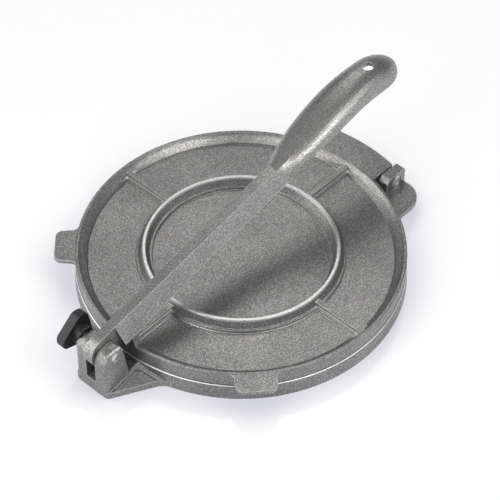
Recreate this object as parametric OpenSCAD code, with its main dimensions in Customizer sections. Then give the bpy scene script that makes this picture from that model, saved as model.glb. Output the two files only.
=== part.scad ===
// Tortilla press in cast aluminium, closed, with its lever lying on the pressing pad.
// Millimetres, +Z up. The origin is the middle of the plates on the table.
// The lever pivots at the front (-X), the plates are hinged at the back (+X) and the
// knob is on the +Y side of the fork.

/* [Plates] */
// Radius of the upper plate's rim
rim_r = 105; // [95:0.5:120]
// Height of the base's pressing face above the table
base_h = 11.4; // [10:0.1:14]
// Gap between the two pressing faces when the press is shut
press_gap = 0.3; // [0.2:0.1:2]
// Height of the upper plate, from its pressing face to the top of the rim
plate_h = 10.3; // [9.5:0.1:14]
// Thickness of the upper plate's web
plate_web = 3.7; // [2.5:0.1:4.5]
// Thickness of the rim wall at its top
rim_t = 2.2; // [2:0.1:4]
// How far the rim's inner side slopes in, down to the ledge
rim_slope = 4; // [1:0.1:5]
// Height of the ledge at the foot of the rim
ledge_h = 1.9; // [1:0.1:3]
// Width of the ledge
ledge_w = 1.3; // [0.8:0.1:2]
// Thickness of the base's web
base_web = 3.6; // [2.5:0.1:4.5]
// Thickness of the base's wall
base_wall = 3.2; // [2.5:0.1:5]
// How far the base's upper edge stands out past the upper plate
base_over = 0.5; // [0.2:0.1:1]
// How far the base's wall leans out on its way down
base_draft = 0.6; // [0.2:0.1:1.5]
// Radius of the worn edges of the rim
edge_r = 0.6; // [0.3:0.1:0.9]

/* [Ribs] */
// Radius of the middle of the ring rib
ring_r = 61.7; // [40:0.5:80]
// Thickness of the ring rib at its top
ring_t = 1.95; // [1.5:0.05:4]
// Draft of each side of the ring rib
ring_draft = 0.7; // [0.2:0.05:1]
// Radius of the ribs' feet
rib_foot_r = 1.6; // [0.5:0.1:2]
// Height of the ring rib above the rim's top
ring_proud = 0.4; // [0:0.1:1.5]
// Width of the radial ribs at their top
rib_w = 3.5; // [2.5:0.1:6]
// Draft of each side of the radial ribs
rib_draft = 0.7; // [0.2:0.1:1.5]
// Height of the upper plate's radial ribs
rib_h = 4.1; // [2:0.1:6]
// Gap between the table and the ribs under the base
rib_lift = 1.6; // [0.5:0.1:4]

/* [Lift tabs] */
// Direction of the tabs, measured from the hinge side
tab_a = 132.5; // [110:0.5:145]
// How far the tabs reach past the rim
tab_out = 13; // [8:0.5:20]
// Width of the tabs at the rim
tab_w = 26.6; // [18:0.2:36]
// Width of the tabs at their ends
tab_end_w = 25.6; // [14:0.2:30]
// Radius of the tabs' corners
tab_r = 5; // [3:0.5:7]
// Radius between the tabs and the rim
tab_root_r = 4; // [1:0.5:6]
// Depth of the tabs' upper faces under the rim's top
tab_drop = 0.4; // [0.2:0.1:1]
// Thickness of the tabs
tab_t = 2.6; // [2:0.1:4]

/* [Pressing pad] */
// Width of the pad at the rim's top
pad_w = 19.6; // [14:0.2:24]
// Width of the pad at the lever
pad_top_w = 9.4; // [7:0.2:12]
// Thickness of the pad along the lever
pad_t = 5; // [4:0.2:9]
// How far the pad's outer face lies inside the rim
pad_in = 0.5; // [0:0.1:1]
// Gap between the pad and the lever's underside
pad_gap = 0.1; // [0.05:0.05:0.3]

/* [Plate hinge] */
// Distance from the rim to the hinge pin's axis
hinge_out = 11.1; // [11:0.1:14]
// Depth of the hinge pin's axis under the rim's top
hinge_drop = 6.3; // [5.8:0.1:6.8]
// How far the hinge flange reaches past the rim
flange_out = 18.2; // [17.6:0.1:20]
// Width of the hinge flange
flange_w = 46; // [36:0.5:56]
// Radius of the knuckle under the flange
knuckle_r = 6.7; // [6:0.1:7]
// Diameter of the hinge pin
pin_d = 6.4; // [5:0.1:7]
// Diameter of the hinge pin's peened ends
pin_head_d = 8.6; // [7.6:0.1:9.5]
// Thickness of the hinge pin's peened ends
pin_head_t = 1.2; // [0.8:0.1:2]
// Depth of the pin's ends under the outer faces of the ears
pin_recess = 0.7; // [0.3:0.1:1.5]
// Gap between the flange and each ear
ear_gap = 1.4; // [0.5:0.1:2.5]
// Thickness of the hinge ears
ear_t = 6.9; // [5:0.1:9]
// Gap between the rim and the hinge ears
ear_in = 1.2; // [0.8:0.1:2]
// How far the hinge ears reach past the rim
ear_out = 19.4; // [18.5:0.1:21]
// Angle through which the plate opens before its heel meets the trough
open_max = 100; // [85:1:115]

/* [Rear extension] */
// How far the rear extension reaches past the rim
rear_out = 18; // [16:0.1:19]
// Width of the rear extension
rear_w = 102; // [90:1:116]
// Radius of the rear extension's corners
rear_r = 15; // [8:0.5:20]
// Thickness of the rear extension
rear_t = 3; // [2.5:0.1:4]

/* [Fork] */
// Distance from the rim to the lever's pivot axis
pivot_out = 19.4; // [18:0.1:22]
// Height of the lever's pivot axis above the rim's top
pivot_up = 8.6; // [7.5:0.1:10]
// Width of the fork at the height of the pivot
fork_w = 25; // [22:0.5:30]
// How far each side of the fork leans out on its way down
fork_draft = 0.6; // [0.2:0.1:1]
// Width of the slot for the lever's nose
slot_w = 7.8; // [7.3:0.1:9]
// How far the fork reaches in front of the pivot axis
fork_front = 9.1; // [8.5:0.1:10]
// How far the fork reaches behind the pivot axis, at its top
fork_back = 6.2; // [5.5:0.1:7]
// How far the fork reaches behind the pivot axis, at its foot
fork_foot_back = 9.7; // [9:0.1:12]
// Height of the fork above the pivot axis
fork_up = 5.4; // [5:0.1:6.5]
// Radius of the fork's front corner
fork_r = 7.8; // [5:0.1:8]
// Radius of the fork's long top edges
fork_edge_r = 3.8; // [1.5:0.1:4]
// Radius of the fork's upright front edges
fork_front_r = 3.4; // [1.5:0.1:4]
// Height of the slot's floor above the table
slot_z = 9.5; // [8:0.1:11]

/* [Braces] */
// Angle between the braces' outer sides and the lever
brace_a = 28.8; // [20:0.1:35]
// Height of the braces at their front corners
brace_h = 4.6; // [3:0.1:6]
// Height of the braces at the round wall
brace_low_h = 3.9; // [3:0.1:6]
// Height of the braces in the corner behind the fork
brace_top_h = 9; // [6:0.1:10]
// Width of the border round the panels in the braces
brace_t = 0.6; // [0.5:0.1:2]
// Width of that border along the round wall
brace_wall_t = 2.2; // [1:0.1:3]
// Depth of the panels in the braces
panel_in = 2.1; // [1:0.1:2.4]
// Radius of the panels' corner behind the fork, and of the root above it
panel_r = 5; // [2:0.5:6]
// Radius between the braces and the base's wall
brace_r = 12; // [6:0.5:16]
// Radius of the braces' front corners
brace_front_r = 2.2; // [1:0.1:3]

/* [Lever] */
// Angle between the arm and the table when the press is shut
arm_a = 10.7; // [9:0.1:12]
// Distance from the pivot axis to the end of the straight arm
arm_l = 158; // [140:1:180]
// Width of the nose, and of the flat on top of the arm
nose_w = 6.6; // [6:0.1:7]
// Radius of the nose
nose_r = 10.9; // [10:0.1:11.5]
// Distance from the pivot axis to the end face of the arm
arm_cut = 11.9; // [11.9:0.1:14]
// Width of the arm's lower edges
arm_w = 19; // [16:0.2:22]
// Depth of the arm at its end face
arm_deep = 13.5; // [12:0.1:15]
// Depth of the arm from its middle on
arm_shallow = 10; // [8:0.1:12]
// Distance from the pivot axis to the place where the arm has become shallow
arm_taper_l = 85; // [60:1:110]
// Distance from the pivot axis to the start of the hollow under the arm
hollow_l = 32; // [30:1:50]
// Thickness of the lever's walls
lever_wall = 2.6; // [2:0.1:3]

/* [Grip] */
// Length of the grip
grip_l = 114.4; // [95:1:130]
// Largest width of the grip
grip_w = 29.2; // [24:0.2:36]
// Width of the grip's end, before it rounds off
grip_end_w = 27.2; // [22:0.2:32]
// Height of the grip's crown above the arm
grip_up = 11.8; // [6:0.2:16]
// Depth of the grip at its crown
grip_deep = 11.5; // [9:0.1:15]
// Drop from the arm's top to the top of the grip's tip
tip_drop = 5.9; // [2:0.1:8]
// Depth of the grip's edge at its tip, under the arm's top
tip_edge = 7.9; // [7:0.1:10]
// Diameter of the hanging hole
hole_d = 8; // [5:0.1:10]
// Distance from the grip's tip to the hanging hole's axis
hole_in = 22.5; // [16:0.5:40]

/* [Pivot and knob] */
// Diameter of the pivot stud
stud_d = 6.3; // [5:0.1:6.6]
// Depth of the stud's end under the fork's face
stud_recess = 1; // [0.3:0.1:2]
// Radial running clearance of both pins
run_gap = 0.06; // [0.02:0.01:0.1]
// Width across the flats of the stud's head
head_w = 9; // [8:0.1:9.5]
// Thickness of the stud's head
head_t = 3; // [2:0.1:3.5]
// Gap between the fork and the knob's hub
hub_gap = 0.2; // [0.1:0.05:0.5]
// Diameter of the knob's hub
hub_d = 13; // [10.5:0.1:15]
// Length of the knob's hub
hub_l = 5.4; // [4:0.1:9]
// Thickness of the knob's lobes
lobe_t = 6.2; // [5.5:0.1:9]
// Distance from the axis to the middle of each lobe's round end
lobe_out = 8.8; // [7.5:0.1:11]
// Radius of the lobes' round ends
lobe_r = 5.2; // [4:0.1:6.5]
// Direction of the first lobe, measured from the hinge side
lobe_a = 70; // [0:1:119]

/* [Hidden] */
$fn = 128;
cast = [0.62, 0.63, 0.65];
steel = [0.8, 0.8, 0.82];
black = [0.06, 0.06, 0.07];
// Overlap of fused pieces, and overrun of cuts
eps = 0.5;

// Heights of the plates, and places of the two axes
plate_z = base_h + press_gap;
rim_z = plate_z + plate_h;
floor_z = plate_z + plate_web;
hinge_x = rim_r + hinge_out;
hinge_z = rim_z - hinge_drop;
pivot_x = -(rim_r + pivot_out);
pivot_z = rim_z + pivot_up;

// The base's wall stands out a little past the rim and leans out to its foot
base_r = rim_r + base_over;
foot_r = base_r + base_draft;
hollow_r = base_r - base_wall;

// The heel is the flange's upper outer edge, which meets the trough when the plate is open
heel_x = flange_out - hinge_out;
heel_r = norm([heel_x, hinge_drop]);
heel_a = atan2(hinge_drop, heel_x);
trough_gap = 0.2;
trough_z = hinge_z - heel_r * sin(open_max - heel_a) - trough_gap;
ears_in_w = flange_w + 2 * ear_gap;
ears_out_w = ears_in_w + 2 * ear_t;

// The fork's front face, half its width at the foot, and the point where a brace's side starts
fork_x = pivot_x - fork_front;
fork_foot = fork_w / 2 + fork_draft;
brace_corner = [fork_x, fork_foot - 0.3];
brace_n = [-sin(brace_a), cos(brace_a)];
brace_d = [cos(brace_a), sin(brace_a)];
// Centre of the round between a brace and the base's wall
brace_off = brace_corner * brace_n + brace_r;
brace_c = brace_off * brace_n - sqrt(pow(foot_r + brace_r, 2) - pow(brace_off, 2)) * brace_d;
// Three corners of a brace's sloping top, and the tilt they give it
brace_front = [brace_corner.x, brace_corner.y, brace_h];
brace_far = [each brace_c * foot_r / (foot_r + brace_r), brace_low_h];
brace_top = [-foot_r, fork_foot, brace_top_h];
brace_up = cross(brace_top - brace_front, brace_far - brace_front);
brace_tilt = [-asin(brace_up.y / norm(brace_up)), atan2(brace_up.x, brace_up.z), 0];

// Height of the arm's lower edge over the pivot axis, in the lever's own frame
function arm_edge(u) =
    nose_r - arm_deep + (arm_deep - arm_shallow) * min(1, max(0, (u - arm_cut) / (arm_taper_l - arm_cut)));
// Height of the lever's underside at a distance from the pivot, in the press
function lever_low(x) = pivot_z + x * tan(arm_a) + arm_edge(x / cos(arm_a)) / cos(arm_a);

hub_y = fork_w / 2 + hub_gap;
lobe_y = hub_y + hub_l;
head_y = lobe_y + (lobe_t - head_t) / 2;

// Smooth step from 0 to 1
function ease(t) = let (s = min(1, max(0, t))) s * s * (3 - 2 * s);
// Points on an arc from one direction to another
function arc(c, r, a0, a1, n = 4) =
    [for (i = [0:n]) let (a = a0 + (a1 - a0) * i / n) c + r * [cos(a), sin(a)]];

// Lays an outline drawn in X and Z upright, centred on Y
module upright(w) {
    translate([0, w / 2, 0]) rotate([90, 0, 0]) linear_extrude(w) children();
}

// A straight rib along +X from x0 to x1, from z0 up to z1, wider at z0 by its draft
module straight_rib(x0, x1, z0, z1, top_w, draft) {
    translate([x0, 0, 0]) rotate([90, 0, 90]) linear_extrude(x1 - x0)
        polygon([
            [-top_w / 2 - draft, z0], [top_w / 2 + draft, z0],
            [top_w / 2, z1], [-top_w / 2, z1]
        ]);
}

// The ring rib, from the web's face at z0 up to z1, with its draft and round feet
module ring_rib(z0, z1) {
    foot = ring_t / 2 + ring_draft + rib_foot_r;
    rotate_extrude()
        polygon(concat(
            [[ring_r - foot, z0 - eps], [ring_r + foot, z0 - eps]],
            arc([ring_r + foot, z0 + rib_foot_r], rib_foot_r, 270, 180),
            [[ring_r + ring_t / 2, z1], [ring_r - ring_t / 2, z1]],
            arc([ring_r - foot, z0 + rib_foot_r], rib_foot_r, 0, -90)
        ));
}

// The round part of the base: pressing face, web and leaning wall
module base_dish() {
    rotate_extrude()
        polygon(concat(
            [[0, base_h - base_web], [hollow_r - 1, base_h - base_web]],
            [[hollow_r, base_h - base_web - 1], [foot_r - base_wall, 0], [foot_r, 0]],
            arc([base_r - edge_r, base_h - edge_r], edge_r, 0, 90),
            [[0, base_h]]
        ));
}

module base_ribs() {
    web_z = base_h - base_web;
    mirror([0, 0, 1]) translate([0, 0, -web_z]) {
        ring_rib(0, web_z - rib_lift);
        for (a = [0:90:270])
            rotate(a) straight_rib(ring_r, hollow_r + eps, -eps, web_z - rib_lift, rib_w, rib_draft);
    }
}

// Outline of the foot from the fork's front corner to the round behind a brace
module brace_outline() {
    on_line = brace_c - brace_r * brace_n;
    on_wall = brace_c * (foot_r - eps) / norm(brace_c);
    inner_y = fork_w / 2 - 1.2;
    // The front corner is round and lies just behind the fork's front face
    x0 = fork_x + 0.3;
    c_x = x0 + brace_front_r;
    c = [c_x, (brace_corner * brace_n - brace_front_r - c_x * brace_n.x) / brace_n.y];
    difference() {
        polygon(concat(
            arc(c, brace_front_r, 180, 90 + brace_a, 6),
            [on_line, brace_c, on_wall, [-rim_r + 2, inner_y], [x0, inner_y]]
        ));
        translate(brace_c) circle(brace_r);
    }
}

// Outline of the panel between the fork, a brace's outer side and the wall
module panel_outline() {
    y0 = fork_foot + brace_t / 2;
    wall_r = foot_r + brace_wall_t;
    start = brace_corner - brace_t * brace_n;
    inner = start + brace_d * (y0 - start.y) / brace_d.y;
    far = start + brace_d * 60;
    // The corner behind the fork is round
    c = [-sqrt(pow(wall_r + panel_r, 2) - pow(y0 + panel_r, 2)), y0 + panel_r];
    difference() {
        polygon(concat([inner], arc(c, panel_r, -90, atan2(-c.y, -c.x), 8), [[-rim_r, c.y], far]));
        circle(wall_r - 0.1);
        translate(brace_c) circle(brace_r + brace_t);
    }
}

// Round root in the corner between the fork's side and the wall
module brace_root() {
    y0 = fork_foot - 0.2;
    wall_r = base_r - 0.3;
    c = [-sqrt(pow(wall_r + panel_r, 2) - pow(y0 + panel_r, 2)), y0 + panel_r];
    linear_extrude(brace_top_h - 0.2) difference() {
        polygon([[c.x, y0 - 1], [-hollow_r - 1, y0 - 1], c * (hollow_r + 1) / norm(c), c]);
        translate(c) circle(panel_r);
    }
}

// Everything above a brace's sloping top, lowered by d
module above_brace(d) {
    translate(brace_front - [0, 0, d]) rotate(brace_tilt) translate([-50, -50, 0]) cube([120, 120, 60]);
}

module braces() {
    for (side = [0, 1]) mirror([0, side, 0]) {
        brace_root();
        difference() {
            linear_extrude(base_h - 0.5) brace_outline();
            above_brace(0);
            intersection() {
                linear_extrude(base_h) panel_outline();
                above_brace(panel_in);
            }
        }
    }
}

// Side view of the fork's ears, with a round front corner and a sloping back
module fork_side() {
    top = pivot_z + fork_up;
    x0 = fork_x;
    back_r = 2;
    polygon(concat(
        [[x0, 0]],
        arc([x0 + fork_r, top - fork_r], fork_r, 180, 90, 8),
        arc([pivot_x + fork_back - back_r, top - back_r], back_r, 90, 10),
        [[pivot_x + fork_foot_back, base_h], [pivot_x + fork_foot_back, 0]]
    ));
}

// End view of the fork, with leaning sides and round top edges
module fork_end() {
    top = pivot_z + fork_up;
    w = fork_w / 2;
    polygon(concat(
        [[-fork_foot, 0]],
        arc([-w + fork_edge_r, top - fork_edge_r], fork_edge_r, 180, 90, 8),
        arc([w - fork_edge_r, top - fork_edge_r], fork_edge_r, 90, 0, 8),
        [[fork_foot, 0]]
    ));
}

// Plan of the fork, with round front corners; it stands just clear of the other faces
module fork_plan() {
    x0 = fork_x - 0.05;
    w = fork_foot + 0.05;
    polygon(concat(
        [[pivot_x + 30, -w], [pivot_x + 30, w]],
        arc([x0 + fork_front_r, w - fork_front_r], fork_front_r, 90, 180, 8),
        arc([x0 + fork_front_r, -w + fork_front_r], fork_front_r, 180, 270, 8)
    ));
}

module fork() {
    // The foot behind the fork lies lower than the braces on both its sides
    foot_z = brace_top_h - 2.5;
    foot_l = -hollow_r - 1 - pivot_x;
    difference() {
        union() {
            intersection() {
                upright(fork_w + 10) fork_side();
                translate([fork_x - 1, 0, 0]) rotate([90, 0, 90]) linear_extrude(40) fork_end();
                translate([0, 0, -1]) linear_extrude(rim_z * 2) fork_plan();
            }
            // The foot joins the fork to the round wall
            translate([pivot_x, -fork_w / 2, 0]) cube([foot_l, fork_w, foot_z]);
        }
        // Slot for the nose
        translate([fork_x - 1, -slot_w / 2, slot_z])
            cube([fork_front + fork_foot_back + 1, slot_w, pivot_z + fork_up]);
        // Bore for the pivot stud
        translate([pivot_x, 0, pivot_z]) rotate([90, 0, 0])
            cylinder(d = stud_d + 2 * run_gap, h = fork_w + 10, center = true);
        // Hollow under the foot
        translate([fork_x + base_wall, -fork_w / 2 + base_wall, -1])
            cube([-foot_r - fork_x - base_wall, fork_w - 2 * base_wall, foot_z - base_web + 1]);
    }
}

// Side view of a hinge ear, with a chamfered front corner
module ear_side() {
    x0 = rim_r + ear_in;
    x1 = rim_r + ear_out;
    chamfer = 3;
    low = trough_z - rear_t;
    polygon([
        [x0 - 3, low], [x0 - 3, base_h - rear_t], [x0, base_h], [x0, rim_z - chamfer],
        [x0 + chamfer, rim_z], [x1 - 1, rim_z], [x1, rim_z - 1], [x1, low + 2], [x1 - 2, low]
    ]);
}

// Plan of the rear extension, with round outer corners
module rear_plan() {
    x1 = rim_r + rear_out;
    w = rear_w / 2;
    difference() {
        union() {
            translate([0, -w + rear_r]) square([x1, rear_w - 2 * rear_r]);
            translate([0, -w]) square([x1 - rear_r, rear_w]);
            for (side = [-1, 1]) translate([x1 - rear_r, side * (w - rear_r)]) circle(rear_r);
        }
        circle(hollow_r);
        translate([-1, -rear_w]) square([hollow_r * 0.8, 2 * rear_w]);
    }
}

module hinge_seat() {
    difference() {
        union() {
            difference() {
                translate([0, 0, base_h - rear_t]) linear_extrude(rear_t) rear_plan();
                // The trough replaces the extension between the ears
                translate([rim_r, -ears_in_w / 2, 0]) cube([40, ears_in_w, rim_z]);
            }
            // Floor of the trough, under the flange's heel
            translate([hollow_r, -ears_out_w / 2 + 1, trough_z - rear_t])
                cube([rim_r + rear_out - hollow_r, ears_out_w - 2, rear_t]);
            for (side = [-1, 1]) translate([0, side * (ears_in_w + ear_t) / 2, 0])
                upright(ear_t) ear_side();
        }
        // Bore and counterbores for the pin
        translate([hinge_x, 0, hinge_z]) rotate([90, 0, 0]) {
            cylinder(d = pin_d, h = ears_out_w + 2, center = true);
            for (side = [0, 1]) mirror([0, 0, side])
                translate([0, 0, ears_out_w / 2 - pin_recess - pin_head_t]) cylinder(d = pin_head_d, h = 5);
        }
    }
}

module base() {
    color(cast) union() {
        base_dish();
        base_ribs();
        braces();
        fork();
        hinge_seat();
    }
}

// The upper plate's web and rim wall, whose inner side slopes down to a ledge
module plate_dish() {
    inner_top = rim_r - rim_t;
    ledge_r = inner_top - rim_slope;
    rotate_extrude()
        polygon(concat(
            [[0, plate_z], [rim_r - 0.4, plate_z], [rim_r, plate_z + 0.4]],
            arc([rim_r - edge_r, rim_z - edge_r], edge_r, 0, 90),
            arc([inner_top + edge_r, rim_z - edge_r], edge_r, 90, 180),
            [[ledge_r, floor_z + ledge_h], [ledge_r - ledge_w, floor_z + ledge_h]],
            [[ledge_r - ledge_w - 0.3, floor_z + 0.6], [ledge_r - ledge_w - 0.9, floor_z], [0, floor_z]]
        ));
}

module plate_ribs() {
    ring_rib(floor_z, rim_z + ring_proud);
    for (a = [0:90:270])
        rotate(a) straight_rib(ring_r, rim_r - rim_t, floor_z - eps, floor_z + rib_h, rib_w, rib_draft);
}

// Outline of a lift tab along +X, with round corners and a round root at the rim
module tab_plan() {
    r1 = rim_r + tab_out;
    w = tab_w / 2;
    c = [r1 - tab_r, tab_end_w / 2 - tab_r];
    root = [sqrt(pow(rim_r + tab_root_r - 0.1, 2) - pow(w + tab_root_r, 2)), w + tab_root_r];
    difference() {
        union() {
            polygon([
                [root.x - 8, -w], [root.x, -w], [c.x, -tab_end_w / 2], [r1, -c.y],
                [r1, c.y], [c.x, tab_end_w / 2], [root.x, w], [root.x - 8, w]
            ]);
            for (end = [-1, 1]) translate([c.x, end * c.y]) circle(tab_r);
            for (end = [0, 1]) mirror([0, end])
                polygon([[root.x - 8, 0], [root.x, 0], root, root * (rim_r - 0.6) / norm(root)]);
        }
        for (end = [-1, 1]) translate([root.x, end * root.y]) circle(tab_root_r);
        circle(rim_r - rim_t / 2);
    }
}

// Lift tabs, just under the rim's top
module lift_tabs() {
    for (side = [-1, 1])
        rotate(side * tab_a) translate([0, 0, rim_z - tab_drop - tab_t]) linear_extrude(tab_t) tab_plan();
}

// Hinge flange with its outer face concentric with the rim, and the knuckle under it
module hinge_flange() {
    difference() {
        union() {
            intersection() {
                difference() {
                    translate([0, 0, plate_z]) cylinder(r = rim_r + flange_out, h = plate_h);
                    translate([0, 0, plate_z - 1]) cylinder(r = rim_r - rim_t / 2, h = plate_h + 2);
                }
                translate([rim_r / 2, -flange_w / 2, 0]) cube([rim_r, flange_w, 2 * rim_z]);
            }
            translate([hinge_x, 0, hinge_z]) rotate([90, 0, 0])
                intersection() {
                    cylinder(r = knuckle_r, h = flange_w, center = true);
                    translate([-knuckle_r, -2 * knuckle_r, -flange_w]) cube([2 * knuckle_r, 2 * knuckle_r, 2 * flange_w]);
                }
        }
        translate([hinge_x, 0, hinge_z]) rotate([90, 0, 0])
            cylinder(d = pin_d + 2 * run_gap, h = flange_w + 2, center = true);
    }
}

// The pad that the lever bears on, sloped like the lever's underside
module pressing_pad() {
    x0 = -rim_r + pad_in;
    x1 = x0 + pad_t;
    z0 = floor_z - eps;
    top = lever_low(x1 - pivot_x) + 1;
    slope_w = (pad_w - pad_top_w) / 2;
    intersection() {
        upright(2 * pad_w) polygon([
            [x0, z0], [x1 + 1, z0], [x1, rim_z],
            [x1, lever_low(x1 - pivot_x) - pad_gap], [x0, lever_low(x0 - pivot_x) - pad_gap]
        ]);
        translate([x0 - 1, 0, 0]) rotate([90, 0, 90]) linear_extrude(pad_t + 4) polygon([
            [-pad_w / 2, z0], [pad_w / 2, z0], [pad_w / 2, rim_z],
            [pad_w / 2 - slope_w, top], [-pad_w / 2 + slope_w, top], [-pad_w / 2, rim_z]
        ]);
    }
}

module top_plate() {
    color(cast) union() {
        plate_dish();
        plate_ribs();
        lift_tabs();
        hinge_flange();
        pressing_pad();
    }
}

// Lever: heights and widths along its own frame, u from the pivot axis along the arm.
// In the grip, t runs from 0 at the arm to 1 at the tip.
crown_t = 0.65;
edge_t = 0.55;
belly_t = 0.5;
round_t = 0.82;
function grip_half(t) =
    t < belly_t ? arm_w / 2 + (grip_w - arm_w) / 2 * sin(90 * t / belly_t)
    : (grip_w / 2 - (grip_w - grip_end_w) / 2 * ease((t - belly_t) / (round_t - belly_t)))
      * sqrt(1 - pow(max(0, (t - round_t) / (1 - round_t)), 2));
function grip_top(t) =
    t < crown_t ? nose_r + grip_up * pow(sin(90 * t / crown_t), 1.3)
    : let (tip = nose_r - tip_drop, s = (t - crown_t) / (1 - crown_t))
      tip + (nose_r + grip_up - tip) * pow(1 - s * s, 0.6);
function grip_edge(t) =
    let (low = nose_r - arm_shallow, high = nose_r + grip_up - grip_deep)
    t < edge_t ? low + (high - low) * (0.6 * ease(t / 0.25) + 0.4 * ease(t / edge_t))
    : high + (nose_r - tip_edge - high) * ease((t - edge_t) / (1 - edge_t));

// Half section from the lower edge to the top, as shares of the half width and the depth
section_n = 10;
function arm_share(j) =
    let (k = j / (section_n - 2), f = nose_w / arm_w)
    k <= 1 ? [1 - (1 - f) * k, k] : [f * (section_n - j) / 2, 1];
function dome_share(j) = [pow(cos(90 * j / section_n), 0.85), pow(sin(90 * j / section_n), 0.85)];
function share(j, dome) = (1 - dome) * arm_share(j) + dome * dome_share(j);
function ring(u, half, low, high, dome) = [
    for (j = [0:2 * section_n])
        let (side = j <= section_n ? -1 : 1, s = share(min(j, 2 * section_n - j), dome))
        [u, side * half * s.x, low + (high - low) * s.y]
];

// Hollow arm and grip as one shell, open below from hollow_l on
module arm_and_grip() {
    grip_n = 26;
    last_t = 0.998;
    wide = 1 - lever_wall / (grip_w / 2);
    arm_u = [hollow_l, arm_taper_l, (arm_taper_l + arm_l) / 2];
    grip_t = [for (i = [0:grip_n]) last_t * (1 - pow(1 - i / grip_n, 1.7))];
    rings_out = concat(
        [ring(arm_cut, arm_w / 2, arm_edge(arm_cut), nose_r, 0)],
        [for (u = arm_u) ring(u, arm_w / 2, arm_edge(u), nose_r, 0)],
        [for (t = grip_t)
            ring(arm_l + t * grip_l, grip_half(t), grip_edge(t), grip_top(t), ease((t + 0.02) / 0.14))]
    );
    rings_in = concat(
        [for (u = arm_u) ring(u, wide * arm_w / 2, arm_edge(u), nose_r - lever_wall, 0)],
        [for (t = grip_t)
            let (low = grip_edge(t), depth = grip_top(t) - low)
            ring(arm_l + t * (grip_l - lever_wall), wide * grip_half(t), low,
                low + max(depth - lever_wall, depth / 5), ease((t + 0.02) / 0.14))]
    );
    w = 2 * section_n + 1;
    n_out = len(rings_out);
    n_in = len(rings_in);
    r = w - 1;
    function o(i, j) = i * w + j;
    function h(i, j) = (n_out + i) * w + j;
    function quad(a, b, c, d) = [[a, b, c], [a, c, d]];
    // Each end is closed by a fan round the middle of its ring
    function middle(s) = [for (k = [0:2]) [for (p = s) p[k]] * [for (p = s) 1] / len(s)];
    function fan(s, c) = [for (j = [0:r]) [s[j], s[(j + 1) % w], c]];
    fans = [rings_out[0], rings_out[n_out - 1], rings_in[0], rings_in[n_in - 1]];
    m = (n_out + n_in) * w;
    points = concat([for (s = concat(rings_out, rings_in)) each s], [for (s = fans) middle(s)]);
    skin = [for (i = [0:n_out - 2], j = [0:r - 1])
        each quad(o(i, j), o(i, j + 1), o(i + 1, j + 1), o(i + 1, j))];
    lining = [for (i = [0:n_in - 2], j = [0:r - 1])
        each quad(h(i, j), h(i + 1, j), h(i + 1, j + 1), h(i, j + 1))];
    edges = [for (i = [0:n_in - 2]) each concat(
        quad(o(i + 1, 0), o(i + 2, 0), h(i + 1, 0), h(i, 0)),
        quad(h(i, r), h(i + 1, r), o(i + 2, r), o(i + 1, r)))];
    ends = concat(
        fan([for (j = [r:-1:0]) o(0, j)], m), fan([for (j = [0:r]) o(n_out - 1, j)], m + 1),
        fan([for (j = [0:r]) h(0, j)], m + 2), fan([for (j = [r:-1:0]) h(n_in - 1, j)], m + 3)
    );
    // Lower faces in front of the hollow and behind it
    rims = concat(
        [[o(0, 0), o(1, 0), h(0, 0)], [o(0, r), h(0, r), o(1, r)]],
        quad(o(0, 0), h(0, 0), h(0, r), o(0, r)),
        quad(h(n_in - 1, 0), o(n_out - 1, 0), o(n_out - 1, r), h(n_in - 1, r))
    );
    polyhedron(points, concat(skin, lining, edges, ends, rims));
}

module lever() {
    color(cast) translate([pivot_x, 0, pivot_z]) rotate([0, -arm_a, 0]) difference() {
        union() {
            arm_and_grip();
            rotate([90, 0, 0]) cylinder(r = nose_r, h = nose_w, center = true);
            translate([0, -nose_w / 2, arm_edge(arm_cut)])
                cube([arm_cut + 2, nose_w, nose_r - arm_edge(arm_cut)]);
        }
        rotate([90, 0, 0]) cylinder(d = stud_d + 2 * run_gap, h = nose_w + 2, center = true);
        translate([arm_l + grip_l - hole_in, 0, 0]) cylinder(d = hole_d, h = 60);
    }
}

module hinge_pin() {
    w = ears_out_w - 2 * pin_recess;
    color(steel) translate([hinge_x, 0, hinge_z]) rotate([90, 0, 0]) {
        cylinder(d = pin_d, h = w, center = true);
        for (side = [0, 1]) mirror([0, 0, side])
            translate([0, 0, w / 2 - pin_head_t]) cylinder(d = pin_head_d, h = pin_head_t);
    }
}

module pivot_stud() {
    y0 = -fork_w / 2 + stud_recess;
    color(steel) translate([pivot_x, 0, pivot_z]) {
        translate([0, y0, 0]) rotate([-90, 0, 0]) cylinder(d = stud_d, h = head_y - y0 + eps);
        translate([0, head_y, 0]) rotate([-90, 0, 0]) cylinder(d = head_w / cos(30), h = head_t, $fn = 6);
    }
}

// Outline of the knob: three round lobes with straight sides between them
module lobes() {
    centres = [for (i = [0:2]) lobe_out * [cos(lobe_a + 120 * i), sin(lobe_a + 120 * i)]];
    polygon([for (i = [0:2], end = [0, 1])
        centres[(i + end) % 3] + lobe_r * [cos(lobe_a + 120 * i + 60), sin(lobe_a + 120 * i + 60)]]);
    for (c = centres) translate(c) circle(lobe_r);
}

module knob() {
    reach = lobe_out + lobe_r;
    color(black) translate([pivot_x, 0, pivot_z]) rotate([90, 0, 0]) mirror([0, 0, 1]) difference() {
        union() {
            translate([0, 0, hub_y]) cylinder(d = hub_d, h = hub_l + eps);
            intersection() {
                translate([0, 0, lobe_y]) linear_extrude(lobe_t) lobes();
                // The lobes' tips are rounded front and back
                translate([0, 0, lobe_y]) rotate_extrude() polygon(concat(
                    [[0, 0]], arc([reach - 1.2, 1.5], 1.5, -90, 0),
                    arc([reach - 1.7, lobe_t - 2], 2, 0, 90), [[0, lobe_t]]
                ));
            }
        }
        cylinder(d = stud_d, h = head_y + 1);
        translate([0, 0, head_y]) cylinder(d = head_w / cos(30), h = head_t, $fn = 6);
    }
}

base();
top_plate();
lever();
hinge_pin();
pivot_stud();
knob();
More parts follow.
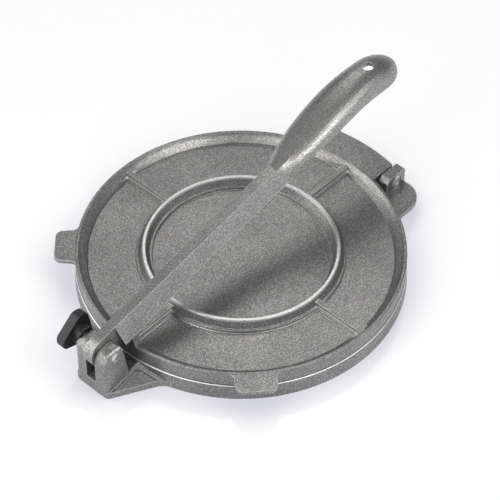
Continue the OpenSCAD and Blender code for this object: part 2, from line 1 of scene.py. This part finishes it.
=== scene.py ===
"""A cast aluminium tortilla press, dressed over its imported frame.

The frame holds every casting, pin and knob. This script gives each of them its finish, adds the
small forms that are too fine for the frame, and sets the studio and the camera.
"""
import logging
import math
from dataclasses import dataclass, field
from enum import Enum

import bmesh
import bpy
from mathutils import Matrix, Vector


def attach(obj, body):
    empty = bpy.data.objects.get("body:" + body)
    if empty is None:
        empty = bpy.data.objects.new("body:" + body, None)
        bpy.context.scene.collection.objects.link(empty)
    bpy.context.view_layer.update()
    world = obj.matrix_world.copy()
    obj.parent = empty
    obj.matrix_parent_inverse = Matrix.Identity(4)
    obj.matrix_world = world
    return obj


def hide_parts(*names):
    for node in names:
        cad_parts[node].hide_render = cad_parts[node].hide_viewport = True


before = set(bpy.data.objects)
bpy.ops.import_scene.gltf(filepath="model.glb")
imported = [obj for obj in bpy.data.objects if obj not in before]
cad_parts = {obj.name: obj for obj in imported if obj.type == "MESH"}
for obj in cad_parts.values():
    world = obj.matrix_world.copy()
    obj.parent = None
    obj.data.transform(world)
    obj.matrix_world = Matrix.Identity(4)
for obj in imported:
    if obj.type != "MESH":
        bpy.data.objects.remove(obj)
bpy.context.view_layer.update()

log = logging.getLogger("tortilla_press")

MM = 0.001


class Finish(Enum):
    """The finishes that the press is made in."""

    PLATE_CASTING = "hammertone_plate"
    LEVER_CASTING = "hammertone_lever"
    BASE_CASTING = "hammertone_base"
    BRIGHT_STEEL = "bright_steel"
    BARE_EDGE = "bare_aluminium"
    BLACK_PLASTIC = "black_plastic"


class Graph:
    """A node tree with short ways to add nodes and join them."""

    def __init__(self, tree: bpy.types.NodeTree) -> None:
        """Keep the tree that the nodes go into."""
        self.tree = tree

    def add(self, kind: str, **settings: object) -> bpy.types.Node:
        """Add a node and set its properties.

        Args:
            kind: The node's type name.
            settings: Properties of the node, by name.

        Returns:
            The new node.
        """
        node = self.tree.nodes.new(kind)
        for name, value in settings.items():
            setattr(node, name, value)
        return node

    def feed(self, node: bpy.types.Node, socket: str | int, value: object) -> None:
        """Give an input a constant, or join it to another node's output."""
        if isinstance(value, bpy.types.NodeSocket):
            self.tree.links.new(value, node.inputs[socket])
        else:
            node.inputs[socket].default_value = value

    def math(self, operation: str, a: object, b: object = 0.0, clamp: bool = False) -> bpy.types.NodeSocket:
        """Add a Math node.

        Args:
            operation: What the node does.
            a: First value or socket.
            b: Second value or socket.
            clamp: Whether the result is held between 0 and 1.

        Returns:
            The node's output.
        """
        node = self.add("ShaderNodeMath", operation=operation, use_clamp=clamp)
        self.feed(node, 0, a)
        self.feed(node, 1, b)
        return node.outputs[0]

    def span(
        self, value: object, low: object, high: object, to_low: float = 0.0, to_high: float = 1.0
    ) -> bpy.types.NodeSocket:
        """Map a value smoothly from one span to another.

        Args:
            value: The value or socket that is mapped.
            low: Where the span starts.
            high: Where the span ends.
            to_low: Result at the start.
            to_high: Result at the end.

        Returns:
            The mapped value.
        """
        node = self.add("ShaderNodeMapRange", interpolation_type="SMOOTHSTEP")
        sockets = ("Value", "From Min", "From Max", "To Min", "To Max")
        for socket, item in zip(sockets, (value, low, high, to_low, to_high)):
            self.feed(node, socket, item)
        return node.outputs["Result"]

    def blend(self, factor: object, a: object, b: object, mode: str = "MIX") -> bpy.types.NodeSocket:
        """Mix two colours.

        Args:
            factor: How much of the second colour is used.
            a: First colour or socket.
            b: Second colour or socket.
            mode: The way the colours are mixed.

        Returns:
            The mixed colour.
        """
        node = self.add("ShaderNodeMix", data_type="RGBA", blend_type=mode)
        self.feed(node, 0, factor)
        self.feed(node, 6, a)
        self.feed(node, 7, b)
        return node.outputs[2]

    def grey(self, value: object) -> bpy.types.NodeSocket:
        """Make a grey colour of a value."""
        node = self.add("ShaderNodeCombineColor")
        for channel in range(3):
            self.feed(node, channel, value)
        return node.outputs[0]


def new_group(
    name: str, inputs: dict[str, tuple[str, object]], outputs: dict[str, str]
) -> tuple[Graph, bpy.types.Node, bpy.types.Node]:
    """Make an empty shader node group with its sockets.

    Args:
        name: Name of the group.
        inputs: Socket type and default of each input, by name.
        outputs: Socket type of each output, by name.

    Returns:
        The group's graph, its input node and its output node.
    """
    tree = bpy.data.node_groups.new(name, "ShaderNodeTree")
    for label, (kind, value) in inputs.items():
        socket = tree.interface.new_socket(label, in_out="INPUT", socket_type=kind)
        socket.default_value = value
    for label, kind in outputs.items():
        tree.interface.new_socket(label, in_out="OUTPUT", socket_type=kind)
    graph = Graph(tree)
    return graph, graph.add("NodeGroupInput"), graph.add("NodeGroupOutput")


FLOAT, COLOUR = "NodeSocketFloat", "NodeSocketColor"


def hammer_grain_group() -> bpy.types.NodeTree:
    """Build the pebbled skin of hammertone paint.

    Returns:
        A group that puts out a Height in metres, a Speck mask and a slow Cloud mask.
    """
    graph, given, out = new_group(
        "HammerGrain",
        {"Grain mm": (FLOAT, 1.0), "Relief mm": (FLOAT, 0.04)},
        {"Height": FLOAT, "Speck": FLOAT, "Cloud": FLOAT},
    )
    place = graph.add("ShaderNodeTexCoord").outputs["Object"]
    scale = graph.math("DIVIDE", 1.0 / MM, given.outputs["Grain mm"])

    cells = graph.add("ShaderNodeTexVoronoi", feature="SMOOTH_F1")
    graph.feed(cells, "Vector", place)
    graph.feed(cells, "Scale", scale)
    graph.feed(cells, "Smoothness", 0.5)
    dome = graph.span(cells.outputs["Distance"], 0.6, 0.1)
    fine = graph.add("ShaderNodeTexNoise")
    graph.feed(fine, "Vector", place)
    graph.feed(fine, "Scale", scale)
    graph.feed(fine, "Detail", 1.0)
    mixed = graph.math("ADD", graph.math("MULTIPLY", dome, 0.5), graph.math("MULTIPLY", fine.outputs[0], 0.8))
    relief = graph.math("MULTIPLY", given.outputs["Relief mm"], MM)
    graph.feed(out, "Height", graph.math("MULTIPLY", mixed, relief))
    graph.feed(out, "Speck", graph.span(mixed, 0.3, 0.95))

    cloud = graph.add("ShaderNodeTexNoise")
    graph.feed(cloud, "Vector", place)
    graph.feed(cloud, "Scale", 32.0)
    graph.feed(cloud, "Detail", 3.0)
    graph.feed(out, "Cloud", cloud.outputs[0])
    return graph.tree


def edge_group() -> bpy.types.NodeTree:
    """Build masks of outer edges, for painted highlights with wear, and of inner corners, for painted shade.

    Returns:
        A group that puts out a mask of outer edges and a Crevice mask in inner corners.
    """
    graph, given, out = new_group(
        "EdgeAndCrevice",
        {"Wear and glint mm": (FLOAT, 0.8), "Crevice mm": (FLOAT, 4.0)},
        {"WornAndHighlit": FLOAT, "Crevice": FLOAT},
    )
    # Painted highlight with real wear: ambient occlusion traced inside the surface finds outer edges, which
    # the finishes lighten.
    inner = graph.add("ShaderNodeAmbientOcclusion", inside=True, only_local=True, samples=6)
    graph.feed(inner, "Distance", graph.math("MULTIPLY", given.outputs["Wear and glint mm"], MM))
    place = graph.add("ShaderNodeTexCoord").outputs["Object"]
    chips = graph.add("ShaderNodeTexNoise")
    graph.feed(chips, "Vector", place)
    graph.feed(chips, "Scale", 260.0)
    graph.feed(chips, "Detail", 3.0)
    near = graph.math("SUBTRACT", 1.0, inner.outputs["AO"])
    unevenness = graph.math("ADD", 0.6, graph.math("MULTIPLY", chips.outputs[0], 0.8))
    ragged = graph.math("MULTIPLY", near, unevenness)
    graph.feed(out, "WornAndHighlit", graph.span(ragged, 0.12, 0.42))
    # Painted shade: ambient occlusion outside the surface finds inner corners, which the finishes darken.
    outer = graph.add("ShaderNodeAmbientOcclusion", inside=False, only_local=True, samples=6)
    graph.feed(outer, "Distance", graph.math("MULTIPLY", given.outputs["Crevice mm"], MM))
    graph.feed(out, "Crevice", graph.span(outer.outputs["AO"], 0.75, 0.2))
    return graph.tree


@dataclass(frozen=True)
class HammertoneFinish:
    """Grey metallic hammertone paint over a casting, with painted shade in its inner corners and painted
    highlights with wear on its outer edges.
    """

    name: str
    dark: tuple[float, float, float] = (0.20, 0.197, 0.194)
    light: tuple[float, float, float] = (0.42, 0.414, 0.40)
    # Pale colour of the outer edges: bare aluminium where paint is rubbed off, and a painted highlight
    # standing in for the glint on rounded edges.
    bare: tuple[float, float, float] = (0.78, 0.775, 0.76)
    grain_mm: float = 0.9
    relief_mm: float = 0.05
    wear_and_glint_mm: float = 0.5
    roughness: float = 0.36
    metallic: float = 0.8

    def build(self, grain: bpy.types.NodeTree, edges: bpy.types.NodeTree) -> bpy.types.Material:
        """Make the material.

        Args:
            grain: The hammertone skin's group.
            edges: The edge mask group.

        Returns:
            The new material.
        """
        material, graph, shader = new_material(self.name)
        skin = graph.add("ShaderNodeGroup", node_tree=grain)
        graph.feed(skin, "Grain mm", self.grain_mm)
        graph.feed(skin, "Relief mm", self.relief_mm)
        rims = graph.add("ShaderNodeGroup", node_tree=edges)
        graph.feed(rims, "Wear and glint mm", self.wear_and_glint_mm)
        graph.feed(rims, "Crevice mm", 2.5)

        paint = graph.blend(skin.outputs["Speck"], (*self.dark, 1), (*self.light, 1))
        cloud = graph.span(skin.outputs["Cloud"], 0.3, 0.7, 0.9, 1.08)
        paint = graph.blend(1.0, paint, graph.grey(cloud), "MULTIPLY")
        # Painted shade: the paint darkens towards near black in inner corners and at the feet of ribs.
        painted_corner_shade = graph.math("MULTIPLY", rims.outputs["Crevice"], 0.35)
        paint_with_corner_shade = graph.blend(painted_corner_shade, paint, (0.07, 0.068, 0.072, 1))
        # Painted highlight with real wear: outer edges are mixed towards the pale bare colour and made
        # smoother.
        worn_and_highlit = graph.math("MULTIPLY", rims.outputs["WornAndHighlit"], 0.65)
        colour = graph.blend(worn_and_highlit, paint_with_corner_shade, (*self.bare, 1))
        graph.feed(shader, "Base Color", colour)
        graph.feed(shader, "Metallic", self.metallic)
        polish = graph.math("MULTIPLY", skin.outputs["Speck"], 0.14)
        rough = graph.math("SUBTRACT", self.roughness + 0.06, polish)
        graph.feed(shader, "Roughness", graph.math("SUBTRACT", rough, graph.math("MULTIPLY", worn_and_highlit, 0.08)))

        soft_edge = graph.add("ShaderNodeBevel", samples=4)
        graph.feed(soft_edge, "Radius", 0.45 * MM)
        bump = graph.add("ShaderNodeBump")
        graph.feed(bump, "Height", skin.outputs["Height"])
        graph.feed(bump, "Strength", 1.0)
        graph.feed(bump, "Distance", 1.0)
        graph.feed(bump, "Normal", soft_edge.outputs["Normal"])
        graph.feed(shader, "Normal", bump.outputs["Normal"])
        return material


def new_material(name: str) -> tuple[bpy.types.Material, Graph, bpy.types.Node]:
    """Make a material with a Principled shader.

    Args:
        name: Name of the material.

    Returns:
        The material, its graph and its shader.
    """
    material = bpy.data.materials.new(name)
    material.use_nodes = True
    graph = Graph(material.node_tree)
    graph.tree.nodes.clear()
    shader = graph.add("ShaderNodeBsdfPrincipled")
    output = graph.add("ShaderNodeOutputMaterial")
    graph.tree.links.new(shader.outputs["BSDF"], output.inputs["Surface"])
    return material, graph, shader


@dataclass(frozen=True)
class SteelFinish:
    """Bright metal without paint: zinc plated steel, or aluminium where the paint is ground off."""

    name: str
    colour: tuple[float, float, float] = (0.86, 0.86, 0.86)
    roughness: float = 0.4

    def build(self) -> bpy.types.Material:
        """Make the material.

        Returns:
            The new material.
        """
        material, graph, shader = new_material(self.name)
        place = graph.add("ShaderNodeTexCoord").outputs["Object"]
        marks = graph.add("ShaderNodeTexNoise")
        graph.feed(marks, "Vector", place)
        graph.feed(marks, "Scale", 900.0)
        graph.feed(marks, "Detail", 3.0)
        shade = graph.span(marks.outputs[0], 0.35, 0.65, 0.85, 1.05)
        graph.feed(shader, "Base Color", graph.blend(1.0, (*self.colour, 1), graph.grey(shade), "MULTIPLY"))
        graph.feed(shader, "Metallic", 1.0)
        rough = graph.span(marks.outputs[0], 0.3, 0.7, self.roughness - 0.06, self.roughness + 0.1)
        graph.feed(shader, "Roughness", rough)
        soft_edge = graph.add("ShaderNodeBevel", samples=4)
        graph.feed(soft_edge, "Radius", 0.3 * MM)
        bump = graph.add("ShaderNodeBump")
        graph.feed(bump, "Height", graph.math("MULTIPLY", marks.outputs[0], 0.01 * MM))
        graph.feed(bump, "Distance", 1.0)
        graph.feed(bump, "Normal", soft_edge.outputs["Normal"])
        graph.feed(shader, "Normal", bump.outputs["Normal"])
        return material


@dataclass(frozen=True)
class PlasticFinish:
    """Black moulded plastic with a faint spark-eroded grain."""

    name: str
    colour: tuple[float, float, float] = (0.012, 0.012, 0.014)
    roughness: float = 0.38

    def build(self, edges: bpy.types.NodeTree) -> bpy.types.Material:
        """Make the material.

        Args:
            edges: The edge mask group.

        Returns:
            The new material.
        """
        material, graph, shader = new_material(self.name)
        place = graph.add("ShaderNodeTexCoord").outputs["Object"]
        grain = graph.add("ShaderNodeTexNoise")
        graph.feed(grain, "Vector", place)
        graph.feed(grain, "Scale", 3200.0)
        graph.feed(grain, "Detail", 2.0)
        rims = graph.add("ShaderNodeGroup", node_tree=edges)
        graph.feed(rims, "Wear and glint mm", 0.8)
        graph.feed(rims, "Crevice mm", 3.0)
        # Painted highlight with scuffing: the knob's outer edges turn a lighter grey.
        worn_and_highlit = graph.math("MULTIPLY", rims.outputs["WornAndHighlit"], 0.35)
        graph.feed(shader, "Base Color", graph.blend(worn_and_highlit, (*self.colour, 1), (0.06, 0.06, 0.064, 1)))
        rough = graph.span(grain.outputs[0], 0.3, 0.7, self.roughness - 0.05, self.roughness + 0.08)
        graph.feed(shader, "Roughness", rough)
        soft_edge = graph.add("ShaderNodeBevel", samples=4)
        graph.feed(soft_edge, "Radius", 0.6 * MM)
        bump = graph.add("ShaderNodeBump")
        graph.feed(bump, "Height", graph.math("MULTIPLY", grain.outputs[0], 0.015 * MM))
        graph.feed(bump, "Distance", 1.0)
        graph.feed(bump, "Normal", soft_edge.outputs["Normal"])
        graph.feed(shader, "Normal", bump.outputs["Normal"])
        return material


@dataclass
class FinishBook:
    """All the materials of the press, built once."""

    made: dict[Finish, bpy.types.Material] = field(default_factory=dict)

    def build(self) -> None:
        """Build the shared groups and every material."""
        grain, edges = hammer_grain_group(), edge_group()
        self.made[Finish.PLATE_CASTING] = HammertoneFinish(Finish.PLATE_CASTING.value).build(grain, edges)
        self.made[Finish.BASE_CASTING] = HammertoneFinish(Finish.BASE_CASTING.value).build(grain, edges)
        # Painted light: the lever wears a lighter copy of the same hammertone, so that it reads brighter, as
        # a more strongly lit part would.
        self.made[Finish.LEVER_CASTING] = HammertoneFinish(
            Finish.LEVER_CASTING.value,
            dark=(0.25, 0.246, 0.24),
            light=(0.5, 0.493, 0.48),
            relief_mm=0.07,
            roughness=0.37,
        ).build(grain, edges)
        self.made[Finish.BRIGHT_STEEL] = SteelFinish(Finish.BRIGHT_STEEL.value).build()
        self.made[Finish.BARE_EDGE] = SteelFinish(Finish.BARE_EDGE.value, (0.9, 0.9, 0.89), 0.34).build()
        self.made[Finish.BLACK_PLASTIC] = PlasticFinish(Finish.BLACK_PLASTIC.value).build(edges)

    def dress(self, node: str, finish: Finish) -> None:
        """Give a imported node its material.

        Args:
            node: Name of the node.
            finish: The finish it gets.
        """
        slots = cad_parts[node].data.materials
        if not slots:
            slots.append(self.made[finish])
        for index in range(len(slots)):
            slots[index] = self.made[finish]
        log.info("%s: %s", node, finish.value)


def ramp(value: float, low: float, high: float) -> float:
    """Share of the way from low to high, held between 0 and 1."""
    return min(1.0, max(0.0, (value - low) / (high - low)))


def spin_profile(shape: bmesh.types.BMesh, profile: list[tuple[float, float]], steps: int = 192) -> None:
    """Turn a closed profile round the press's axis into a ring.

    Args:
        shape: The mesh that the ring is added to.
        profile: Radius and height of each corner, in millimetres.
        steps: Number of facets round the ring.
    """
    verts = [shape.verts.new((radius * MM, 0.0, height * MM)) for radius, height in profile]
    edges = [shape.edges.new((verts[i - 1], verts[i])) for i in range(len(verts))]
    bmesh.ops.spin(
        shape, geom=verts + edges, cent=(0, 0, 0), axis=(0, 0, 1), dvec=(0, 0, 0),
        angle=math.tau, steps=steps, use_merge=True, use_duplicate=False,
    )


def rounded(
    profile: list[tuple[float, float]], radii: dict[int, float], steps: int = 4
) -> list[tuple[float, float]]:
    """Round some corners of a closed profile.

    Args:
        profile: Corners of the profile.
        radii: Radius of each rounded corner, by its index.
        steps: Number of facets of each round.

    Returns:
        The profile with its rounds.
    """
    result: list[tuple[float, float]] = []
    for index, corner in enumerate(profile):
        if index not in radii:
            result.append(corner)
            continue
        here = Vector(corner)
        to_last = (Vector(profile[index - 1]) - here).normalized()
        to_next = (Vector(profile[(index + 1) % len(profile)]) - here).normalized()
        half = to_last.angle(to_next) / 2
        start, end = (here + side * radii[index] / math.tan(half) for side in (to_last, to_next))
        centre = here + (to_last + to_next).normalized() * radii[index] / math.sin(half)
        a, b = start - centre, end - centre
        turn = a.angle(b)
        for step in range(steps + 1):
            t = step / steps
            arm = (a * math.sin((1 - t) * turn) + b * math.sin(t * turn)) / math.sin(turn)
            result.append(tuple(centre + arm))
    return result


@dataclass
class UpperPlate:
    """The upper plate, with the steep inner side of its rim and the steps at the feet of its ribs.

    Its lengths are in millimetres. The frame's plate gives the rest: flange, tabs, pad and web.
    """

    finishes: "FinishBook"
    floor_z: float = 15.4
    rim_in_r: float = 102.8
    frame_ledge_out_r: float = 98.8
    frame_ledge_in_r: float = 97.5
    ledge_out_r: float = 100.05
    ledge_in_r: float = 98.3
    ledge_lift: float = 0.4
    pad_in_x: float = -99.3
    pad_half: float = 9.9
    ring_r: float = 61.7
    ring_half: float = 0.99
    ring_top: float = 22.43
    ring_slope: float = 2.6
    step_w: float = 1.6
    step_h: float = 2.0
    rib_half: float = 2.4
    rib_step_w: float = 1.4

    def build(self) -> None:
        """Build the plate and let it stand for the frame's plate."""
        shape = bmesh.new()
        shape.from_mesh(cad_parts["top_plate"].data)
        bmesh.ops.remove_doubles(shape, verts=shape.verts, dist=0.001 * MM)
        self.move_ledge(shape)
        known = set(shape.faces)
        self.add_ring(shape)
        self.add_rib_steps(shape)
        added = [face for face in shape.faces if face not in known]
        bmesh.ops.recalc_face_normals(shape, faces=added)
        plate = add_piece("upper_plate", shape, self.finishes.made[Finish.PLATE_CASTING])
        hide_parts("top_plate")
        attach(plate, "plate_body")

    def move_ledge(self, shape: bmesh.types.BMesh) -> None:
        """Make the rim's inner side steeper, by moving the ledge at its foot outwards."""
        out_shift = self.ledge_out_r - self.frame_ledge_out_r
        in_shift = self.ledge_in_r - self.frame_ledge_in_r
        for vert in shape.verts:
            x, y, z = (axis / MM for axis in vert.co)
            radius = math.hypot(x, y)
            on_pad = x < self.pad_in_x and abs(y) < self.pad_half and z > self.floor_z + 2.1
            if on_pad or z < self.floor_z - 0.1 or not 90.0 < radius < self.rim_in_r:
                continue
            if radius < self.frame_ledge_in_r:
                shift = in_shift * ramp(radius, 90.0, self.frame_ledge_in_r)
            elif radius < self.frame_ledge_out_r:
                across = ramp(radius, self.frame_ledge_in_r, self.frame_ledge_out_r)
                shift = in_shift + (out_shift - in_shift) * across
            else:
                shift = out_shift * (1 - ramp(radius, self.frame_ledge_out_r, self.rim_in_r))
            raised = 0.0
            if z > self.floor_z + 0.3:
                raised = ramp(radius, self.frame_ledge_in_r - 0.4, self.frame_ledge_in_r)
            raised *= 1 - ramp(radius, self.frame_ledge_out_r, self.rim_in_r)
            vert.co *= 1 + shift / radius
            vert.co.z = (z + self.ledge_lift * raised) * MM

    def add_ring(self, shape: bmesh.types.BMesh) -> None:
        """Add the ring rib's sloping sides and the steps at their feet."""
        low, step_z = self.floor_z - 0.4, self.floor_z + self.step_h
        top, foot = self.ring_half, self.ring_half + self.ring_slope
        edge = foot + self.step_w
        corners = [
            (self.ring_r - edge - 0.15, low),
            (self.ring_r + edge + 0.15, low),
            (self.ring_r + edge, step_z),
            (self.ring_r + foot, step_z),
            (self.ring_r + top, self.ring_top),
            (self.ring_r - top, self.ring_top),
            (self.ring_r - foot, step_z),
            (self.ring_r - edge, step_z),
        ]
        spin_profile(shape, rounded(corners, {2: 0.45, 3: 0.6, 4: 0.4, 5: 0.4, 6: 0.6, 7: 0.45}))

    def add_rib_steps(self, shape: bmesh.types.BMesh) -> None:
        """Add the low step on both sides of each radial rib."""
        low, step_z = self.floor_z - 0.4, self.floor_z + self.step_h
        half = self.rib_half + self.rib_step_w
        corners = [(-half - 0.1, low), (half + 0.1, low), (half, step_z), (-half, step_z)]
        section = rounded(corners, {2: 0.45, 3: 0.45})
        start, end = self.ring_r + self.ring_half + self.ring_slope, self.ledge_out_r
        for quarter in range(4):
            verts = [shape.verts.new((start * MM, y * MM, z * MM)) for y, z in section]
            face = shape.faces.new(verts)
            long = bmesh.ops.extrude_face_region(shape, geom=[face])
            moved = [item for item in long["geom"] if isinstance(item, bmesh.types.BMVert)]
            bmesh.ops.translate(shape, verts=moved, vec=((end - start) * MM, 0, 0))
            turn = Matrix.Rotation(quarter * math.pi / 2, 3, "Z")
            bmesh.ops.rotate(shape, verts=verts + moved, cent=(0, 0, 0), matrix=turn)


def add_piece(
    name: str, shape: bmesh.types.BMesh, material: bpy.types.Material, sharp_angle: float = 14.0
) -> bpy.types.Object:
    """Make an object of a finished shape and free the shape.

    Args:
        name: Name of the new object.
        shape: Its faces, in metres, in place.
        material: Its finish.
        sharp_angle: Edges that turn more than this many degrees stay sharp.

    Returns:
        The new object, at the origin.
    """
    mesh = bpy.data.meshes.new(name)
    shape.to_mesh(mesh)
    shape.free()
    mesh.materials.clear()
    mesh.materials.append(material)
    mesh.shade_smooth()
    mesh.set_sharp_from_angle(angle=math.radians(sharp_angle))
    piece = bpy.data.objects.new(name, mesh)
    bpy.context.scene.collection.objects.link(piece)
    even = piece.modifiers.new("even_shading", "WEIGHTED_NORMAL")
    even.keep_sharp = True
    even.weight = 100
    log.info("%s: %d faces", name, len(mesh.polygons))
    return piece


@dataclass
class PartingEdge:
    """The bare upper edge of the base's wall, where the paint is ground off. In millimetres."""

    finishes: "FinishBook"
    wall_r: float = 105.5
    top_z: float = 11.4
    edge_r: float = 0.6
    proud: float = 0.06
    depth: float = 0.35

    def build(self) -> None:
        """Build the edge as a thin ring on the base."""
        shape = bmesh.new()
        outer = self.corner(self.edge_r + self.proud, (2, 16, 30, 44, 58, 68))
        spin_profile(shape, outer + self.corner(self.edge_r - self.depth, (68, 35, 2)))
        bmesh.ops.recalc_face_normals(shape, faces=shape.faces)
        edge = add_piece("base_bare_edge", shape, self.finishes.made[Finish.BARE_EDGE], 40.0)
        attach(edge, "base_body")

    def corner(self, radius: float, angles: tuple[int, ...]) -> list[tuple[float, float]]:
        """Points round the wall's upper edge, at a radius and at some angles in degrees."""
        across, up = self.wall_r - self.edge_r, self.top_z - self.edge_r
        turns = [math.radians(angle) for angle in angles]
        return [(across + radius * math.cos(turn), up + radius * math.sin(turn)) for turn in turns]


@dataclass
class Castings:
    """The three castings and the steel and plastic pieces between them."""

    finishes: FinishBook

    def build(self) -> None:
        """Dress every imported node."""
        for node, finish in (
            ("base", Finish.BASE_CASTING),
            ("lever", Finish.LEVER_CASTING),
            ("hinge_pin", Finish.BRIGHT_STEEL),
            ("pivot_stud", Finish.BRIGHT_STEEL),
            ("knob", Finish.BLACK_PLASTIC),
        ):
            self.finishes.dress(node, finish)
        UpperPlate(self.finishes).build()
        PartingEdge(self.finishes).build()


@dataclass
class Studio:
    """A white studio: pale floor, soft lamps and the camera."""

    aim: tuple[float, float, float] = (0.0012, -0.0064, 0.022)
    azimuth: float = -47.70
    elevation: float = 47.38
    roll: float = 0.456
    distance: float = 1.3465
    focal_px: float = 2132.4
    frame_px: float = 500.0

    def build(self) -> None:
        """Set up the floor, the world, the lamps and the camera."""
        self.floor()
        self.world()
        self.lamps()
        self.camera()

    def floor(self) -> None:
        """Lay the pale floor that the press stands on, with a painted shadow round the press."""
        mesh = bpy.data.meshes.new("floor")
        shape = bmesh.new()
        bmesh.ops.create_grid(shape, x_segments=1, y_segments=1, size=6.0)
        shape.to_mesh(mesh)
        shape.free()
        floor = bpy.data.objects.new("floor", mesh)
        bpy.context.scene.collection.objects.link(floor)
        material, graph, shader = new_material("white_table")
        light_path = graph.add("ShaderNodeLightPath")
        seen = graph.math("MAXIMUM", light_path.outputs["Is Camera Ray"], light_path.outputs["Is Glossy Ray"])
        graph.feed(shader, "Base Color", graph.blend(seen, (0.85, 0.85, 0.86, 1), (0.14, 0.14, 0.12, 1)))
        # Painted shadow: camera and glossy rays see the floor glow white, darkening to lilac grey where
        # ambient occlusion finds the press close by.
        open_sky = graph.add("ShaderNodeAmbientOcclusion", samples=8)
        graph.feed(open_sky, "Distance", 0.07)
        shade = graph.span(open_sky.outputs["AO"], 0.97, 0.55)
        white_with_painted_shadow = graph.blend(shade, (0.87, 0.87, 0.89, 1), (0.56, 0.56, 0.63, 1))
        graph.feed(shader, "Roughness", 0.12)
        graph.feed(shader, "Specular IOR Level", 0.35)
        graph.feed(shader, "Emission Color", white_with_painted_shadow)
        graph.feed(shader, "Emission Strength", seen)
        mesh.materials.append(material)

    def world(self) -> None:
        """Light the room softly from above, and show it white to the camera."""
        world = bpy.data.worlds.new("studio")
        bpy.context.scene.world = world
        world.use_nodes = True
        graph = Graph(world.node_tree)
        graph.tree.nodes.clear()
        place = graph.add("ShaderNodeTexCoord").outputs["Generated"]
        split = graph.add("ShaderNodeSeparateXYZ")
        graph.feed(split, 0, place)
        height = graph.span(split.outputs["Z"], 0.0, 0.3, 0.9, 0.12)
        room = graph.add("ShaderNodeBackground")
        graph.feed(room, "Color", (0.97, 0.97, 1.0, 1))
        graph.feed(room, "Strength", height)
        white = graph.add("ShaderNodeBackground")
        graph.feed(white, "Color", (1, 1, 1, 1))
        graph.feed(white, "Strength", 1.0)
        light_path = graph.add("ShaderNodeLightPath")
        choose = graph.add("ShaderNodeMixShader")
        graph.feed(choose, 0, light_path.outputs["Is Camera Ray"])
        graph.feed(choose, 1, room.outputs[0])
        graph.feed(choose, 2, white.outputs[0])
        output = graph.add("ShaderNodeOutputWorld")
        graph.feed(output, "Surface", choose.outputs[0])

    def lamp(self, name: str, place: tuple[float, float, float], size: float, watts: float) -> None:
        """Hang a square soft box that looks at the press.

        Args:
            name: Name of the lamp.
            place: Where it hangs, in metres.
            size: Length of its sides, in metres.
            watts: Its power.
        """
        data = bpy.data.lights.new(name, "AREA")
        data.shape = "SQUARE"
        data.size = size
        data.energy = watts
        lamp = bpy.data.objects.new(name, data)
        lamp.visible_camera = False
        lamp.location = place
        lamp.rotation_euler = (Vector(self.aim) - Vector(place)).to_track_quat("-Z", "Y").to_euler()
        bpy.context.scene.collection.objects.link(lamp)

    def lamps(self) -> None:
        """Hang the soft boxes: two close in front, one behind the press and two lower ones."""
        self.lamp("left_front", (-0.32, 0.0, 0.40), 0.25, 1.26)
        self.lamp("right_front", (0.0, -0.32, 0.40), 0.25, 1.13)
        self.lamp("behind", (0.51, 0.47, 0.93), 0.4, 1.40)
        self.lamp("right_low", (0.41, -0.71, 0.59), 0.4, 1.40)
        self.lamp("left_low", (-1.0, 1.0, 0.53), 1.1, 10.0)

    def camera(self) -> None:
        """Place the camera where the photograph was taken from."""
        data = bpy.data.cameras.new("photo_camera")
        data.sensor_fit = "HORIZONTAL"
        data.sensor_width = 36.0
        data.lens = data.sensor_width * self.focal_px / self.frame_px
        data.clip_start, data.clip_end = 0.05, 50.0
        a, e = math.radians(self.azimuth), math.radians(self.elevation)
        back = Vector((math.sin(a) * math.cos(e), -math.cos(a) * math.cos(e), math.sin(e)))
        camera = bpy.data.objects.new("photo_camera", data)
        bpy.context.scene.collection.objects.link(camera)
        turn = (-back).to_track_quat("-Z", "Y").to_matrix().to_4x4()
        place = Matrix.Translation(Vector(self.aim) + back * self.distance)
        camera.matrix_world = place @ turn @ Matrix.Rotation(math.radians(self.roll), 4, "Z")
        bpy.context.scene.camera = camera


def main() -> None:
    """Build the finishes, dress the press and set the studio."""
    logging.basicConfig(level=logging.INFO, format="%(name)s: %(message)s")
    finishes = FinishBook()
    finishes.build()
    Castings(finishes).build()
    Studio().build()
    bpy.context.scene.view_settings.view_transform = "Standard"


if __name__ == "__main__":
    main()
